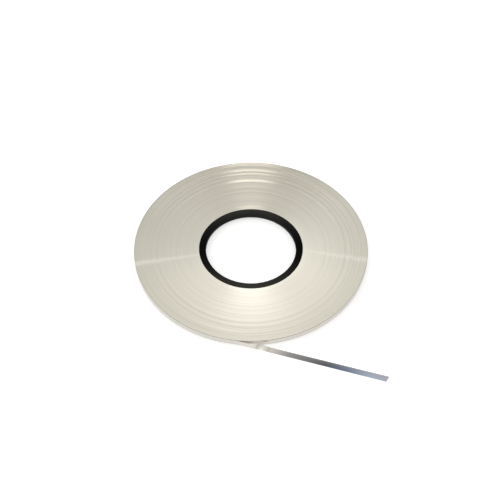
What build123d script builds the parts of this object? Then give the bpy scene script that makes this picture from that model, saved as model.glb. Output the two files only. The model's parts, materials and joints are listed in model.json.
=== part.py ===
from build123d import *
from math import cos, radians, sin, tan
import os

# Pancake coil of nickel-plated steel strip, wound on a plastic core ring and lying flat.
# The strip's outer end peels off the coil, twists a quarter turn and runs off flat along the floor.
# Millimetres. The origin is on the coil's axis, in the plane that the coil rests on, +Z up.

# The strip, as it is slit and rolled
strip_width = 5.0
strip_thickness = 0.15

# The coil: bands of its turns stand a little higher or lower than each other, from the core out
coil_diameter = 198.0
turn_wander = 0.15
band_depth_shares = (
    0.08, 0.16, 0.11, 0.12, 0.045, 0.02, 0.025, 0.02, 0.08, 0.07, 0.03, 0.05, 0.045, 0.08, 0.065
)
band_rise_shares = (0.5, 0.25, 0.35, 0.2, 0.6, 0.3, 0.6, 0.35, 0.9, 0.3, 1.0, 0.45, 1.0, 0.25, 0.0)

# The core ring, flush with the strip on the coil's upper side
core_bore = 76.2
core_wall = 5.85
core_width = 4.25
core_edge_chamfer = 0.5
core_clearance = 0.05

# The free tail: where it leaves the coil, its reverse bend, its quarter turn and its cut end
tail_leave_angle = 260.0
tail_tuck = 0.1
tail_bend_radius = 122.0
tail_bend_angle = 7.4
tail_run = 116.3
tail_twist_angle = 90.0
tail_twist_run = 16.0
tail_twist_stations = 8
tail_end_tilt = 8.0
tail_flat_stations = 3
tail_cut_angle = 15.0

# The first turn is wound on the core, and each band of turns is as tall as the strip is wide
coil_radius = coil_diameter / 2
winding_radius = core_bore / 2 + core_wall + core_clearance
winding_depth = coil_radius - winding_radius
flat_run = tail_run - tail_twist_run

# The bend starts just under the coil's outer face, heading along the turn that it leaves
leave_direction = Vector(1, 0).rotate(Axis.Z, tail_leave_angle)
leave_point = leave_direction * (coil_radius - strip_thickness / 2 - tail_tuck)
leave_heading = leave_direction.rotate(Axis.Z, 90)

with BuildLine() as tail_bend:
    JernArc(leave_point, leave_heading, tail_bend_radius, -tail_bend_angle)
run_start = tail_bend.line @ 1
run_heading = tail_bend.line % 1
run_inward = run_heading.rotate(Axis.Z, 90)


def run_plane(run_length, tilt):
    """The strip's cross-section plane along its run, X across the strip from its lower edge."""
    across = Vector(0, 0, 1) * sin(radians(tilt)) + run_inward * cos(radians(tilt))
    lift = Vector(0, 0, strip_thickness / 2) * cos(radians(tilt))
    return Plane(run_start + run_heading * run_length + lift, across, run_heading)


with BuildPart() as wound_strip:
    # The wound turns, with a step on both end faces wherever one band meets the next
    with BuildSketch(Plane.XZ):
        band_start = winding_radius
        for depth_share, rise_share in zip(band_depth_shares, band_rise_shares):
            band_depth = winding_depth * depth_share
            with Locations((band_start, rise_share * turn_wander)):
                Rectangle(band_depth, strip_width, align=(Align.MIN, Align.MIN))
            band_start += band_depth
    revolve(axis=Axis.Z)

    # The upright bend, where the outermost turn peels away
    with BuildSketch():
        trace(tail_bend.line, strip_thickness)
    extrude(amount=strip_width)

    # The quarter turn, from standing on edge to lying flat, gentle at both of its ends
    for station in range(tail_twist_stations + 1):
        share = station / tail_twist_stations
        turned_share = share**2 * (3 - 2 * share)
        with BuildSketch(run_plane(tail_twist_run * share, tail_twist_angle * (1 - turned_share))):
            Rectangle(strip_width, strip_thickness, align=(Align.MIN, Align.CENTER))
    loft()

    # The flat run, whose far edge lifts a little towards the free end
    for station in range(tail_flat_stations + 1):
        share = station / tail_flat_stations
        with BuildSketch(run_plane(tail_twist_run + flat_run * share, tail_end_tilt * share)):
            Rectangle(strip_width, strip_thickness, align=(Align.MIN, Align.CENTER))
    loft()

    # The end is snipped off at a slant, longest at the far edge
    run_end = run_plane(tail_run, tail_end_tilt)
    snip = radians(tail_cut_angle)
    snip_point = run_end.origin - run_heading * (strip_width * tan(snip))
    snip_heading = run_heading * cos(snip) - run_end.x_dir * sin(snip)
    split(bisect_by=Plane(snip_point, run_end.y_dir, snip_heading), keep=Keep.BOTTOM)
wound_strip.part.label = "wound_strip"

with BuildPart() as core_ring:
    with BuildSketch(Plane.XZ) as core_section:
        with Locations((core_bore / 2, strip_width - core_width)):
            Rectangle(core_wall, core_width, align=(Align.MIN, Align.MIN))
        chamfer(core_section.vertices(), core_edge_chamfer)
    revolve(axis=Axis.Z)
core_ring.part.label = "core_ring"

os.makedirs("parts", exist_ok=True)
for piece in (wound_strip, core_ring):
    export_step(piece.part, f"parts/{piece.part.label}.step")
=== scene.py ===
import bmesh
import bpy
import json
import random
from math import atan2, cos, hypot, pi, radians, sin, tan
from mathutils import Matrix, Vector, noise


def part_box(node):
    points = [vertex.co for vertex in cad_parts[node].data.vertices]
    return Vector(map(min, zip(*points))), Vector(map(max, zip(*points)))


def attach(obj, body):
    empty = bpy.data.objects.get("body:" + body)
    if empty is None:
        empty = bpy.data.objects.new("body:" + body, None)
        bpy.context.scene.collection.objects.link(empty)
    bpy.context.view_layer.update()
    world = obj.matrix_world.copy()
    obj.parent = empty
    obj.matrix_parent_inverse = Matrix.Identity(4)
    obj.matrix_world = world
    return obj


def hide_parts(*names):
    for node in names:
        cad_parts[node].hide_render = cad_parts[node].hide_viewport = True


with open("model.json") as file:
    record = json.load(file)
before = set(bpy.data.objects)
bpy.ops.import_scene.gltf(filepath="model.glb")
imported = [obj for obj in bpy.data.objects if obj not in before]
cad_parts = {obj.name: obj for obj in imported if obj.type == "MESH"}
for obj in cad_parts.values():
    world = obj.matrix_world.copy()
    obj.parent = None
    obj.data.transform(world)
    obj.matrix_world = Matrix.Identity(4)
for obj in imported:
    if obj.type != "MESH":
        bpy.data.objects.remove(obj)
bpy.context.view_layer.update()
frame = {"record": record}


# The wound strip is one length of nickel-plated steel, slit narrow and wound flat, some 360 turns deep.
# Its slit edges are the coil's two ends, where groups of turns stand a little proud or lean a little.
# The outermost turn peels off, twists a quarter turn and ends flat, snipped off at a slant.
strip_width = 0.0050
strip_thickness = 0.00015
core_clearance = 0.00005
core_low, core_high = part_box("core_ring")
strip_low, strip_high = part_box("wound_strip")
coil_radius = strip_high.y
winding_radius = core_high.x + core_clearance
winding_depth = coil_radius - winding_radius
turn_wander = strip_high.z - strip_low.z - strip_width
band_depth_shares = (
    0.08, 0.16, 0.11, 0.12, 0.045, 0.02, 0.025, 0.02, 0.08, 0.07, 0.03, 0.05, 0.045, 0.08, 0.065)
band_rise_shares = (0.5, 0.25, 0.35, 0.2, 0.6, 0.3, 0.6, 0.35, 0.9, 0.3, 1.0, 0.45, 1.0, 0.25, 0.0)
group_depth = 0.00065
spin_steps = 192

# The turns get looser towards the rim, and those of a band that stands proud lean outwards a little
proud_lean = radians(2.5)
proud_rise_share = 0.4
loose_lean = radians(1.0)
loose_rise = 0.00002
core_looseness = 0.15
dice = random.Random(4)
upper_end = []
lower_end = []
inner = winding_radius
for depth_share, rise_share in zip(band_depth_shares, band_rise_shares):
    group_count = round(winding_depth * depth_share / group_depth)
    band_lean = proud_lean * max(rise_share - proud_rise_share, 0) / (1 - proud_rise_share)
    for group in range(group_count):
        outer = inner + winding_depth * depth_share / group_count
        outwards = (inner - winding_radius) / winding_depth
        looseness = core_looseness + (1 - core_looseness) * outwards ** 2
        rise = turn_wander * rise_share + dice.uniform(-1, 1) * loose_rise * looseness
        rise = min(max(rise, 0), turn_wander)
        top = strip_width + rise
        lean = dice.gauss(0, 1) * loose_lean * looseness - band_lean
        slant = (outer - inner) * tan(lean)
        upper_end += [(inner, top - max(slant, 0)), (outer, top + min(slant, 0))]
        lower_end += [(inner, rise + max(slant, 0)), (outer, rise - min(slant, 0))]
        inner = outer

# The outermost turns have sprung a little loose, with a fine gap behind them and rubbed edges
loose_turns = 0.00030
loose_gap = 0.00028
gap_depth = 0.0007
rubbed_edge = 0.00008
loose_inside = coil_radius - loose_turns
for end, to_middle in ((upper_end, -1), (lower_end, 1)):
    height = end[-1][1]
    gap_floor = height + to_middle * gap_depth
    end[-1] = (loose_inside - loose_gap, height)
    end += [(loose_inside - loose_gap, gap_floor),
            (loose_inside, gap_floor),
            (loose_inside, height),
            (coil_radius - rubbed_edge, height),
            (coil_radius, height + to_middle * rubbed_edge)]

# The section is spun round the coil's axis, and its level faces are the slit edges
merge_distance = 1e-7
level_normal = 0.5
slit_edge_slot = 0
rolled_face_slot = 1
coil = bmesh.new()
section = [coil.verts.new((radius, 0, height)) for radius, height in upper_end + lower_end[::-1]]
for start, end in zip(section, section[1:] + section[:1]):
    coil.edges.new((start, end))
bmesh.ops.spin(coil, geom=coil.verts[:] + coil.edges[:], cent=(0, 0, 0), axis=(0, 0, 1),
               angle=2 * pi, steps=spin_steps, use_merge=True)
bmesh.ops.remove_doubles(coil, verts=coil.verts[:], dist=merge_distance)
bmesh.ops.recalc_face_normals(coil, faces=coil.faces[:])
for face in coil.faces:
    face.material_index = slit_edge_slot if abs(face.normal.z) > level_normal else rolled_face_slot

# Round the coil the turns drift slowly up and down, the outer ones the most
drift_height = 0.00005
drift_per_metre = 16
drift_across_turns = 300
for corner in coil.verts:
    radius = hypot(corner.co.x, corner.co.y)
    outwards = (radius - winding_radius) / winding_depth
    wave = noise.noise(Vector((corner.co.x * drift_per_metre, corner.co.y * drift_per_metre,
                               radius * drift_across_turns)))
    upper = corner.co.z > strip_width / 2
    room_up = strip_high.z - corner.co.z if upper else turn_wander - corner.co.z
    room_down = corner.co.z - strip_width if upper else corner.co.z
    lift = drift_height * outwards * wave
    corner.co.z += max(min(lift, max(room_up, 0)), -max(room_down, 0))

# The tail is cut and slit flat, X along it from where it leaves the coil and Y across it.
# Its map of the strip starts well past the coil's own.
tail_leave_angle = radians(260)
tail_tuck = 0.0001
tail_bend_radius = 0.122
tail_bend_angle = radians(7.4)
tail_run = 0.1163
tail_twist_run = 0.016
tail_end_tilt = radians(8)
tail_cut_angle = radians(15)
tail_segments = 200
tail_cross_segments = 6
tail_map_start = 1.0
bend_length = tail_bend_radius * tail_bend_angle
tail_length = bend_length + tail_run
tail = bmesh.new()
bmesh.ops.create_grid(tail, x_segments=tail_segments, y_segments=tail_cross_segments, size=0.5)
bmesh.ops.translate(tail, verts=tail.verts[:], vec=(0.5, 0.5, 0))
bmesh.ops.scale(tail, verts=tail.verts[:], vec=(tail_length, strip_width, 1))
for corner in tail.verts:
    corner.co.x -= (strip_width - corner.co.y) * tan(tail_cut_angle) * corner.co.x / tail_length
bmesh.ops.recalc_face_normals(tail, faces=tail.faces[:])
bmesh.ops.solidify(tail, geom=tail.faces[:], thickness=strip_thickness)
bmesh.ops.recalc_face_normals(tail, faces=tail.faces[:])
tail_middle = sum(corner.co.z for corner in tail.verts) / len(tail.verts)
tail_map = tail.loops.layers.uv.new("strip")
for face in tail.faces:
    face.material_index = rolled_face_slot
    for loop in face.loops:
        loop[tail_map].uv = (tail_map_start + loop.vert.co.x, loop.vert.co.y)

# Then it is bent off the coil and turned over to lie flat, with its far edge lifting towards the free end
leave_direction = Vector((cos(tail_leave_angle), sin(tail_leave_angle), 0))
bend_centre = leave_direction * (coil_radius - strip_thickness / 2 - tail_tuck + tail_bend_radius)
run_outward = Matrix.Rotation(-tail_bend_angle, 3, "Z") @ leave_direction
run_start = bend_centre - run_outward * tail_bend_radius
run_heading = Vector((-run_outward.y, run_outward.x, 0))
for corner in tail.verts:
    along, across, off_middle = corner.co.x, corner.co.y, corner.co.z - tail_middle
    if along < bend_length:
        outward = Matrix.Rotation(-along / tail_bend_radius, 3, "Z") @ leave_direction
        corner.co = bend_centre - outward * (tail_bend_radius - off_middle) + Vector((0, 0, across))
    else:
        run = along - bend_length
        share = min(run / tail_twist_run, 1)
        flat_share = min(max(run - tail_twist_run, 0) / (tail_run - tail_twist_run), 1)
        twist = pi / 2 * share ** 2 * (3 - 2 * share) - tail_end_tilt * flat_share
        up = Vector((0, 0, cos(twist))) - run_outward * sin(twist)
        face_out = run_outward * cos(twist) + Vector((0, 0, sin(twist)))
        lift = Vector((0, 0, strip_thickness / 2 * sin(twist)))
        corner.co = run_start + run_heading * run + up * across + face_out * off_middle + lift

# The coil's own face is mapped the same way, along the strip and across it, and the two are joined
crisp_angle = radians(30)
coil_map = coil.loops.layers.uv.new("strip")
for face in coil.faces:
    for loop in face.loops:
        place = loop.vert.co
        loop[coil_map].uv = (atan2(place.y, place.x) * coil_radius, place.z)
tail_mesh = bpy.data.meshes.new("tail")
tail.to_mesh(tail_mesh)
tail.free()
coil.from_mesh(tail_mesh)
bpy.data.meshes.remove(tail_mesh)
for face in coil.faces:
    face.smooth = True
for edge in coil.edges:
    edge.smooth = edge.calc_face_angle(0) < crisp_angle
wound_mesh = bpy.data.meshes.new("wound_strip_turns")
coil.to_mesh(wound_mesh)
coil.free()

# The shine of the slit edges is drawn out across the turns, so its direction is taken round the coil's axis
wound_mesh.use_auto_texspace = False
wound_mesh.texspace_location = (0, 0, strip_width / 2)
wound_mesh.texspace_size = (coil_radius, coil_radius, strip_width)
wound_strip = bpy.data.objects.new("wound_strip_turns", wound_mesh)
bpy.context.scene.collection.objects.link(wound_strip)


class Socket:
    """One output of a shader node. Arithmetic on it adds Math nodes to the same tree."""

    def __init__(self, tree, output=None):
        self.tree = tree
        self.output = output

    def node(self, kind, settings=None, inputs=None, output=0):
        """Adds a node, sets it up, fills or links its sockets, and returns one of its outputs."""
        node = self.tree.nodes.new(kind)
        for name, value in (settings or {}).items():
            if name == "interpolation":
                node.color_ramp.interpolation = value
            elif name == "stops":
                ramp = node.color_ramp.elements
                while len(ramp) < len(value):
                    ramp.new(1)
                for stop, (place, colour) in zip(ramp, value):
                    stop.position = place
                    stop.color = (*colour, 1)
            else:
                setattr(node, name, value)
        for name, value in (inputs or {}).items():
            if isinstance(value, Socket):
                self.tree.links.new(value.output, node.inputs[name])
            else:
                node.inputs[name].default_value = value
        return Socket(self.tree, node.outputs[output] if len(node.outputs) else None)

    def math(self, operation, *values):
        """The result of a Math node."""
        return self.node("ShaderNodeMath", {"operation": operation}, dict(enumerate(values)))

    def vector(self, operation, *values, output="Vector"):
        """The result of a Vector Math node."""
        return self.node("ShaderNodeVectorMath", {"operation": operation}, dict(enumerate(values)), output)

    def __add__(self, other):
        return self.math("ADD", self, other)

    def __radd__(self, other):
        return self.math("ADD", other, self)

    def __sub__(self, other):
        return self.math("SUBTRACT", self, other)

    def __rsub__(self, other):
        return self.math("SUBTRACT", other, self)

    def __mul__(self, other):
        return self.math("MULTIPLY", self, other)

    def __rmul__(self, other):
        return self.math("MULTIPLY", other, self)

    def __truediv__(self, other):
        return self.math("DIVIDE", self, other)

    def __rtruediv__(self, other):
        return self.math("DIVIDE", other, self)

    def __abs__(self):
        return self.math("ABSOLUTE", self)

    def eased(self, start, end, low=0.0):
        """A value that goes smoothly from low to 1 as this one goes from start to end."""
        return self.node("ShaderNodeMapRange", {"interpolation_type": "SMOOTHSTEP"},
                         {0: self, 1: start, 2: end, 3: low})

    def mixed(self, first, second):
        """A colour that goes from the first to the second as this value goes from 0 to 1."""
        return self.node("ShaderNodeMix", {"data_type": "RGBA"}, {0: self, 6: first, 7: second}, 2)

    def feed(self, shader, socket):
        """Links this value to a socket of a shader."""
        self.tree.links.new(self.output, shader.inputs[socket])


def new_finish(name, **fixed):
    """A material with one Principled shader, whose fixed sockets are set here."""
    finish = bpy.data.materials.new(name)
    finish.use_nodes = True
    shader = finish.node_tree.nodes["Principled BSDF"]
    for socket, value in fixed.items():
        shader.inputs[socket.replace("_", " ")].default_value = value
    return finish, shader, Socket(finish.node_tree)


# Slit edges: satin and warm, with fine lines round the coil where turns and groups of turns differ
turn_line_scale = 1800
band_line_scale = 420
film_scale = 28
line_detail = 3.0
noise_mean = 0.5
slit_edge, shader, tree = new_finish("nickel_slit_edges", Metallic=1.0, Anisotropic=0.79,
                                     Anisotropic_Rotation=0.25)
place = tree.node("ShaderNodeTexCoord", output="Object")
flat_place = tree.vector("MULTIPLY", place, (1, 1, 0))
radius = tree.vector("LENGTH", flat_place, output="Value")
outwards = (radius - winding_radius) / winding_depth
turn_line = tree.node("ShaderNodeTexNoise", {"noise_dimensions": "1D"},
                      {"W": radius, "Scale": turn_line_scale, "Detail": line_detail})
band_line = tree.node("ShaderNodeTexNoise", {"noise_dimensions": "1D"},
                      {"W": radius, "Scale": band_line_scale, "Detail": line_detail})
band_swing = band_line - noise_mean
film = tree.node("ShaderNodeTexNoise", None, {"Vector": place, "Scale": film_scale, "Detail": line_detail})

# The turns are looser on the coil's far side, where some of the bands are burnished; the same far-side mask
# carries a painted highlight
band_shine_shares = (0.62, 0.0, 0.06, 0.0, 0.36, 0.1, 0.36, 0.1, 0.88, 0.15, 1.0, 0.5, 0.88, 0.2, 0.92)
loose_start_share = 0.05
loose_end_share = 0.8
near_looseness = 0.12
band_edges = [sum(band_depth_shares[:band]) for band in range(len(band_depth_shares))]
shine_stops = [(edge, [shine_share] * 3) for edge, shine_share in zip(band_edges, band_shine_shares)]
band_shine = tree.node("ShaderNodeValToRGB", {"interpolation": "CONSTANT", "stops": shine_stops},
                       {0: outwards})
side = tree.node("ShaderNodeSeparateXYZ", None, {0: flat_place}, "Y")
loose_and_painted_shine_side = side.eased(loose_start_share * coil_radius, loose_end_share * coil_radius, near_looseness)
burnish_and_painted_shine = band_shine * loose_and_painted_shine_side

# The metal's tone follows the lines, the film on it and the burnish, and it is darker towards the rim.
# On the far side the burnished bands and the swing of the lines are a painted highlight in that tone.
turn_tone = 0.5
band_tone = 0.3
film_tone = 0.2
painted_shine_tone = 0.4
far_line_painted_shine_tone = 1.6
core_tone = 0.36
rim_tone = -0.32
dark_edge = (0.70, 0.68, 0.60, 1)
pale_edge = (0.85, 0.825, 0.735, 1)
# Painted highlight: the burnish and the far side's line swing make the colour paler and darker where the
# far side shines
tone = turn_line * turn_tone + band_line * band_tone + film * film_tone + burnish_and_painted_shine * painted_shine_tone
tone = tone + band_swing * loose_and_painted_shine_side * far_line_painted_shine_tone + (core_tone + outwards * (rim_tone - core_tone))
bare_metal = tone.mixed(dark_edge, pale_edge)

# Two faint pale lines cross the turns, painted glints, ragged from turn to turn and wider and paler towards
# the rim.
# Each has a bearing from the coil's axis, an offset to its side and a strength.
painted_glint_lines = ((radians(190.6), 0.0010, 0.95), (radians(-11.9), -0.0071, 0.65))
line_edge = 0.0042
line_heart = 0.0003
painted_glint_metal = (0.96, 0.94, 0.87, 1)
core_line_width = 0.5
line_widening = 0.55
line_raggedness = 0.010
turn_ragged_share = 0.6
core_line_strength = 0.12
turn_line_strength = 0.7
rim_line_strength = 0.3
line_width = core_line_width + outwards * line_widening
ragged = turn_line * turn_ragged_share + band_line * (1 - turn_ragged_share) - noise_mean
lines = []
for bearing, offset, strength in painted_glint_lines:
    ahead = tree.vector("DOT_PRODUCT", flat_place, (cos(bearing), sin(bearing), 0), output="Value")
    aside = tree.vector("DOT_PRODUCT", flat_place, (-sin(bearing), cos(bearing), 0), output="Value")
    aside = (aside + offset) / line_width + ragged * line_raggedness
    line = abs(aside).eased(line_edge, line_heart)
    lines.append(line * tree.math("GREATER_THAN", ahead, 0) * strength)
# Painted glints: the two lines are painted pale into the base colour
painted_glint_share = sum(lines) * (turn_line * turn_line_strength + core_line_strength + outwards * rim_line_strength)
painted_glint_share.mixed(bare_metal, painted_glint_metal).feed(shader, "Base Color")

# The film dulls the metal a little, and the burnish polishes it
edge_roughness = 0.32
band_roughness = 0.04
film_roughness = 0.03
burnish_polish = 0.13
roughness = edge_roughness + band_line * band_roughness + film * film_roughness - burnish_and_painted_shine * burnish_polish
roughness.feed(shader, "Roughness")

# Slitting leaves every turn's edge slanted down towards the core, most so near the core, and each turn a
# little differently, which the tilted normal gives line by line
core_slope = tan(radians(13))
rim_slope = tan(radians(6))
burnish_slope = tan(radians(19))
loose_slope = tan(radians(26))
core_unevenness = 0.25
near_unevenness = 0.4
added_unevenness = 0.8
ridge_strength = 0.15
ridge_height = 0.00004
unevenness = core_unevenness + outwards * (1 - core_unevenness)
unevenness = unevenness * (near_unevenness + loose_and_painted_shine_side * added_unevenness)
slope = core_slope + outwards * outwards * (rim_slope - core_slope)
slope = slope + band_swing * unevenness * loose_slope + burnish_and_painted_shine * burnish_slope
outward = tree.vector("NORMALIZE", flat_place)
inward_lean = tree.node("ShaderNodeVectorMath", {"operation": "SCALE"}, {0: outward, "Scale": slope * -1})
level = tree.node("ShaderNodeNewGeometry", output="Normal")
slanted = tree.vector("NORMALIZE", tree.vector("ADD", level, inward_lean))
ridges = tree.node("ShaderNodeBump", None, {"Height": turn_line, "Normal": slanted,
                                            "Strength": ridge_strength, "Distance": ridge_height})
ridges.feed(shader, "Normal")

# Rolled faces: bright plate with faint rolling lines along the strip, dulled where the tail is bent and
# turned over, and painted paler past the middle of that turn, a painted highlight
rolling_lines_along = 12
rolling_lines_across = 1400
rolling_detail = 2.0
turn_fade = 0.003
dark_plate = (0.63, 0.605, 0.56, 1)
pale_plate = (0.72, 0.70, 0.655, 1)
bend_plate = (0.75, 0.72, 0.665, 1)
painted_light_plate = (0.97, 0.94, 0.88, 1)
plate_roughness = 0.035
rolling_roughness = 0.03
dulled_roughness = 0.38
turn_start = tail_map_start + bend_length
turn_middle = turn_start + tail_twist_run / 2
turn_end = turn_start + tail_twist_run
rolled_face, shader, tree = new_finish("nickel_rolled_face", Metallic=1.0)
strip_place = tree.node("ShaderNodeUVMap", {"uv_map": "strip"})
drawn_out = tree.node("ShaderNodeMapping", None, {
    "Vector": strip_place, "Scale": (rolling_lines_along, rolling_lines_across, 1)})
rolling_line = tree.node("ShaderNodeTexNoise", None, {
    "Vector": drawn_out, "Scale": 1.0, "Detail": rolling_detail})
along = tree.node("ShaderNodeSeparateXYZ", None, {0: strip_place}, "X")
dulled_and_painted_light = along.eased(tail_map_start, turn_start) * along.eased(turn_end + turn_fade, turn_end - turn_fade)
before_middle = along.eased(turn_middle + turn_fade, turn_middle - turn_fade)
plate = rolling_line.mixed(dark_plate, pale_plate)
# Past the middle of the turn the plate is painted near white, a painted highlight where that face catches
# light
dulled_and_painted_light.mixed(plate, before_middle.mixed(painted_light_plate, bend_plate)).feed(shader, "Base Color")
roughness = plate_roughness + rolling_line * rolling_roughness + dulled_and_painted_light * dulled_roughness
roughness.feed(shader, "Roughness")

wound_mesh.materials.append(slit_edge)
wound_mesh.materials.append(rolled_face)
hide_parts("wound_strip")
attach(wound_strip, "root")


# The core ring is one turned piece of black plastic that the first turn is wound on.
# Its edges are rounded off all round, and a painted sheen lies on its front and back, a little weaker on
# the far side.
millimetre = 0.001
core_bore = next(mount for mount in frame["record"]["mounts"] if mount["name"] == "core_bore")
core_bore_radius = core_bore["dims"]["r_mm"] * millimetre
core_edge = 0.0005
core_edge_segments = 3
turned_edge_angle = radians(60)
ring = bmesh.new()
for edge_radius in (core_high.x, core_bore_radius):
    bmesh.ops.create_circle(ring, segments=spin_steps, radius=edge_radius)
bmesh.ops.translate(ring, verts=ring.verts[:], vec=(0, 0, core_low.z))
end_face = bmesh.ops.bridge_loops(ring, edges=ring.edges[:])["faces"]
raised = bmesh.ops.extrude_face_region(ring, geom=end_face)["geom"]
raised_corners = [part for part in raised if isinstance(part, bmesh.types.BMVert)]
bmesh.ops.translate(ring, verts=raised_corners, vec=(0, 0, core_high.z - core_low.z))
bmesh.ops.recalc_face_normals(ring, faces=ring.faces[:])
turned_edges = [edge for edge in ring.edges if edge.calc_face_angle(0) > turned_edge_angle]
bmesh.ops.bevel(ring, geom=turned_edges, offset=core_edge, offset_type="OFFSET", affect="EDGES",
                segments=core_edge_segments, profile=0.5, material=-1)
for face in ring.faces:
    face.smooth = True
core_mesh = bpy.data.meshes.new("core_ring_turned")
ring.to_mesh(core_mesh)
ring.free()
core_mesh.use_auto_texspace = False
core_mesh.texspace_location = (0, 0, strip_width / 2)
core_mesh.texspace_size = (core_high.x, core_high.x, strip_width)
core_ring = bpy.data.objects.new("core_ring_turned", core_mesh)
bpy.context.scene.collection.objects.link(core_ring)

# Its plastic is satin black, with scuffs in its gloss and through the painted sheen
scuff_scale = 90
scuff_detail = 4.0
least_sheen = 0.5
far_sheen_loss = 0.15
bare_plastic = (0.001, 0.001, 0.0015, 1)
sheen_painted_plastic = (0.036, 0.036, 0.032, 1)
plastic_roughness = 0.28
scuff_roughness = 0.2
core_plastic, shader, tree = new_finish("black_core_plastic", Specular_IOR_Level=0.035, Anisotropic=0.8,
                                        Anisotropic_Rotation=0.25)
place = tree.node("ShaderNodeTexCoord", output="Object")
scuff = tree.node("ShaderNodeTexNoise", None, {
    "Vector": place, "Scale": scuff_scale, "Detail": scuff_detail})
side = tree.node("ShaderNodeSeparateXYZ", None, {0: place}, "Y") / core_high.x
# Painted sheen: the colour is paler on the ring's front and back, a little less so on the far side
painted_sheen = side * side * (least_sheen + scuff) * (1 - side * far_sheen_loss)
painted_sheen.mixed(bare_plastic, sheen_painted_plastic).feed(shader, "Base Color")
(plastic_roughness + scuff * scuff_roughness).feed(shader, "Roughness")
core_mesh.materials.append(core_plastic)
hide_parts("core_ring")
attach(core_ring, "root")


# The floor is a plain white table top. It shows white in the picture and in the metal,
# and still takes the shadow of the coil.
floor_size = 8.0
floor_gap = 0.00002
floor_glow = 0.45
slab = bmesh.new()
bmesh.ops.create_grid(slab, x_segments=1, y_segments=1, size=floor_size / 2)
bmesh.ops.translate(slab, verts=slab.verts[:], vec=(0, 0, -floor_gap))
floor_mesh = bpy.data.meshes.new("floor")
slab.to_mesh(floor_mesh)
slab.free()
floor = bpy.data.objects.new("floor", floor_mesh)
bpy.context.scene.collection.objects.link(floor)
floor_paint, shader, tree = new_finish("white_floor", Base_Color=(0.8, 0.8, 0.8, 1), Roughness=0.9,
                                       Specular_IOR_Level=0.0, Emission_Strength=floor_glow)
seen = tree.node("ShaderNodeLightPath", output="Is Camera Ray")
for ray in ("Is Glossy Ray", "Is Transmission Ray"):
    seen = tree.math("MAXIMUM", seen, tree.node("ShaderNodeLightPath", output=ray))
seen.mixed((0, 0, 0, 1), (1, 1, 1, 1)).feed(shader, "Emission Color")
floor_mesh.materials.append(floor_paint)


# Studio light: pale walls all round, a dimmer ceiling and a soft strip light overhead on the near side.
# On the far side a narrow slot of the wall has a dark gap in it, below the cool ceiling there.
# One weak lamp stands low on the far side.
wall_level = 1.6
near_dimming = 0.3
right_dimming = 1.1
zenith_guard = 0.0001
studio = bpy.data.worlds.new("studio")
studio.use_nodes = True
bpy.context.scene.world = studio
background = studio.node_tree.nodes["Background"]
tree = Socket(studio.node_tree)
direction = tree.node("ShaderNodeTexCoord", output="Generated")
across, depth, height = [tree.node("ShaderNodeSeparateXYZ", None, {0: direction}, axis) for axis in "XYZ"]
elevation = tree.math("ARCSINE", height) * (2 / pi)
level_share = (1 + zenith_guard) - height * height
far_reach = tree.math("MAXIMUM", depth, 0)
near_reach = tree.math("MINIMUM", depth, 0)
far = far_reach * far_reach / level_share
far = far * far
near = near_reach * near_reach / level_share


def wall(stops):
    """A ramp up the studio's wall, from degrees of elevation and colours."""
    return tree.node("ShaderNodeValToRGB", {"stops": [(degrees / 90, colour) for degrees, colour in stops]},
                     {0: elevation})


# The walls, from the floor up: all round, on the far side, and in the slot there
round_wall = wall((
    (0, (0.34, 0.34, 0.335)), (14, (0.45, 0.445, 0.435)), (27, (0.63, 0.625, 0.61)),
    (42, (0.575, 0.60, 0.615)), (60, (0.455, 0.445, 0.425)), (90, (0.31, 0.30, 0.285))))
far_low_stops = (
    (0, (0.50, 0.495, 0.485)), (12, (0.765, 0.755, 0.74)), (20, (0.87, 0.855, 0.84)),
    (30, (0.85, 0.835, 0.815)), (40, (0.54, 0.53, 0.51)))
far_wall = wall(far_low_stops + (
    (48, (0.385, 0.375, 0.35)), (55, (0.42, 0.405, 0.385)), (70, (0.36, 0.35, 0.33)),
    (90, (0.31, 0.30, 0.285))))
slot_wall = wall(far_low_stops + (
    (49, (0.45, 0.44, 0.42)), (53, (0.62, 0.61, 0.60)), (56, (0.24, 0.245, 0.265)),
    (61, (0.06, 0.07, 0.095)), (64, (0.13, 0.175, 0.29)), (67, (0.33, 0.40, 0.54)),
    (72, (0.38, 0.43, 0.52)), (90, (0.28, 0.28, 0.28))))
slot_left_edge = (radians(-0.8), radians(0.4))
slot_right_edge = (radians(4.5), radians(2.2))
bearing = tree.math("ARCTAN2", across, depth)
slot = bearing.eased(*slot_left_edge) * bearing.eased(*slot_right_edge)
walls = far.mixed(round_wall, slot.mixed(far_wall, slot_wall))

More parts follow.
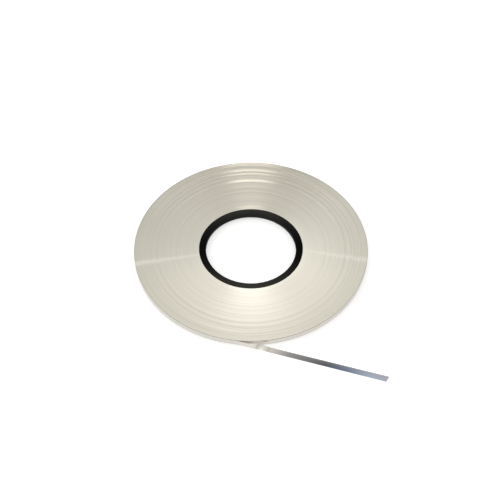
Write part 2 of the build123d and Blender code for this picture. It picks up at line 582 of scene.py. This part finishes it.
# The strip light fades out at its edges, which are given as parts of a unit direction
strip_light = (1.0, 0.955, 0.91, 1)
strip_level = 0.30
strip_far_edge = (0.10, -0.12)
strip_near_edge = (-0.85, -0.5)
strip_side_edge = (0.26, 0.10)
strip_low_edge = (0.0, 0.4)
overhead = depth.eased(*strip_far_edge) * depth.eased(*strip_near_edge)
overhead = overhead * abs(across).eased(*strip_side_edge) * height.eased(*strip_low_edge)
overhead.mixed(walls, strip_light).feed(background, "Color")

# The low walls are dimmer on the right, and the ceiling is dimmer on the left
low_wall_share = 0.55
even_share = 0.25
rightwards = across * (tree.math("MINIMUM", level_share, low_wall_share) - even_share)
strength = wall_level * (1 - near * near_dimming - rightwards * right_dimming) + overhead * strip_level
strength.feed(background, "Strength")

# The lamp is a soft disc that faces the coil
lamp_width = 0.24
lamp_power = 0.36
lamp_place = Vector((0, 1.10, 0.35))
lamp_data = bpy.data.lights.new("far_lamp", "AREA")
lamp_data.shape = "DISK"
lamp_data.size = lamp_width
lamp_data.energy = lamp_power
lamp = bpy.data.objects.new("far_lamp", lamp_data)
lamp.location = lamp_place
lamp.rotation_euler = lamp_place.to_track_quat("Z", "Y").to_euler()
bpy.context.scene.collection.objects.link(lamp)


# The camera stands at the photograph's viewing angle, with a long lens.
# Its shift puts the coil's axis at the same pixel as in the photograph.
picture_width = 500
focal_pixels = 1705.2
view_elevation = radians(49.91)
view_distance = 1.4478
axis_pixel = (250.95, 251.95)
camera_data = bpy.data.cameras.new("camera")
camera_data.lens = camera_data.sensor_width * focal_pixels / picture_width
camera_data.shift_x = (picture_width / 2 - axis_pixel[0]) / picture_width
camera_data.shift_y = (axis_pixel[1] - picture_width / 2) / picture_width
camera = bpy.data.objects.new("camera", camera_data)
camera.location = (0, -view_distance * cos(view_elevation), view_distance * sin(view_elevation))
camera.rotation_euler = (pi / 2 - view_elevation, 0, 0)
bpy.context.scene.collection.objects.link(camera)
bpy.context.scene.camera = camera
bpy.context.scene.view_settings.view_transform = "Standard"
